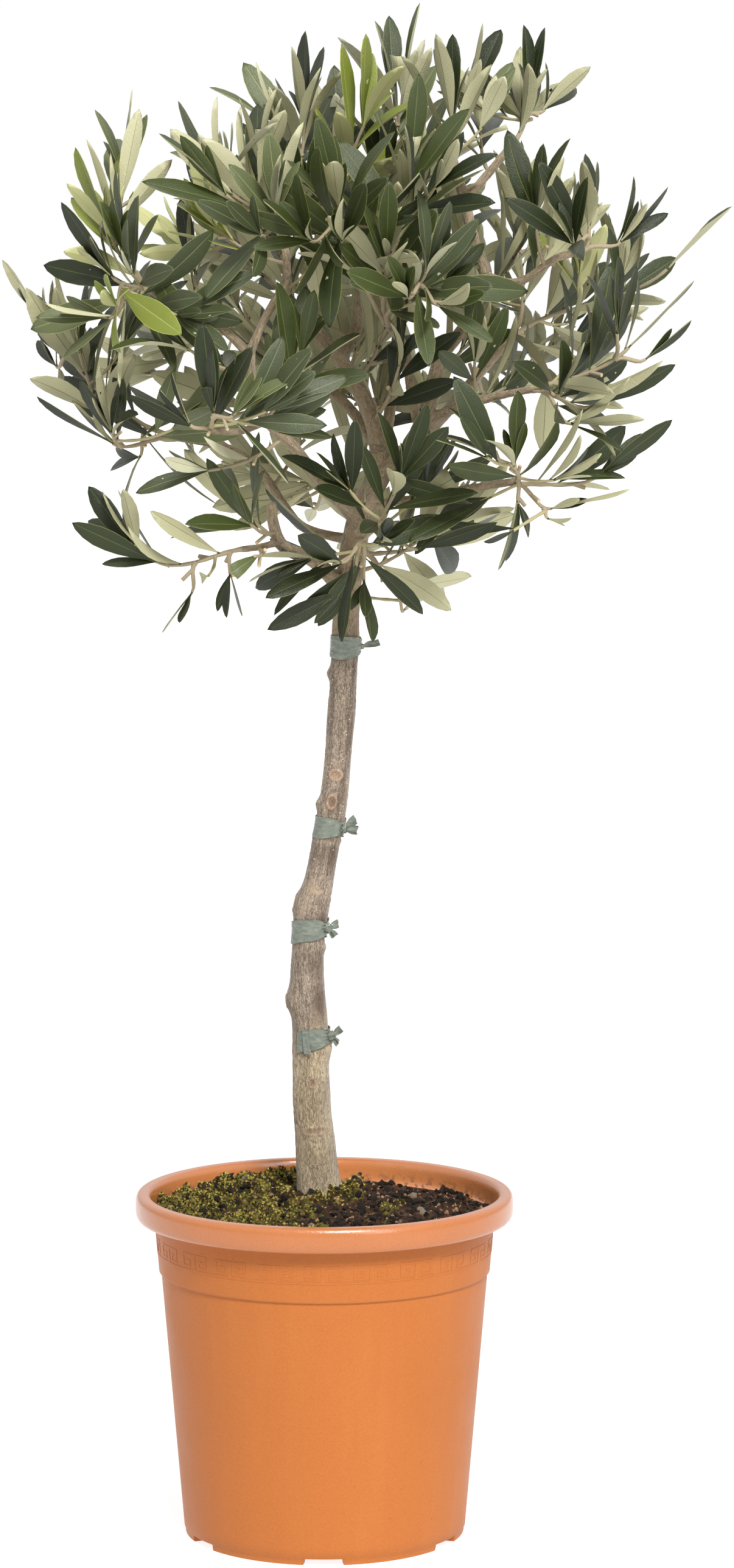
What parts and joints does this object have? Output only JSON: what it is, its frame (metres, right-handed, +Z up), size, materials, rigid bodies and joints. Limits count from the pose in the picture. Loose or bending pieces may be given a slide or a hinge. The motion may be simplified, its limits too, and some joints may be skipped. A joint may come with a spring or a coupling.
{
  "type": "potted olive tree",
  "caption": "Young standard olive tree with a round pruned head of grey-green leaves on a slender trunk, tied with green tape, in a round terracotta-coloured pot.",
  "frame": {"origin": "centre of the pot's flat underside", "axes": "+Z up, along the pot's axis; the front of the tree, as pictured, faces -Y and its right is +X"},
  "size_m": [0.459, 0.36, 0.967],
  "materials": {
    "pot_plastic": "fine orange-peel, satin, terracotta colour",
    "potting_soil": "rough crumbs of peat and bark with moss",
    "bark": "rough grey-brown bark, finely furrowed",
    "tie_tape": "satin grey-green tape",
    "leaf": "leathery, dark green above and pale sage below"
  },
  "bodies": {
    "root": {"pot": "pot_plastic", "soil": "potting_soil", "trunk": "bark", "tie_1": "tie_tape", "tie_2": "tie_tape", "tie_3": "tie_tape", "tie_4": "tie_tape", "fork_left": "bark", "fork_right": "bark", "left_upright": "bark", "right_upright": "bark", "right_upright_arm": "bark", "right_upper": "bark", "centre_front": "bark", "right_reach": "bark", "right_low": "bark", "left_low": "bark", "left_low_arm": "bark", "left_back": "bark", "left_front": "bark", "left_front_up": "bark", "left_front_arm": "bark", "left_front_low": "bark", "back_left": "bark", "back_right": "bark", "back_top": "bark", "back_low": "bark", "leaves_top": "leaf", "leaves_top_mid": "leaf", "leaves_top_left": "leaf", "leaves_upper_left": "leaf", "leaves_right_top": "leaf", "leaves_right_crest": "leaf", "leaves_right_upper": "leaf", "leaves_right_far": "leaf", "leaves_right_reach": "leaf", "leaves_right_mid": "leaf", "leaves_right_low": "leaf", "leaves_right_under": "leaf", "leaves_centre_top": "leaf", "leaves_centre_left": "leaf", "leaves_centre_right": "leaf", "leaves_left_crest": "leaf", "leaves_left_mid": "leaf", "leaves_left_top": "leaf", "leaves_left_front": "leaf", "leaves_left_fill": "leaf", "leaves_left_reach": "leaf", "leaves_left_far": "leaf", "leaves_left_low": "leaf", "leaves_front_low": "leaf", "leaves_back_right": "leaf", "leaves_back_crest": "leaf", "leaves_back_left": "leaf", "leaves_back_rise": "leaf", "leaves_back_top": "leaf", "leaves_back_mid": "leaf", "leaves_back_low": "leaf", "leaves_back_under": "leaf"}
  },
  "joints": []
}
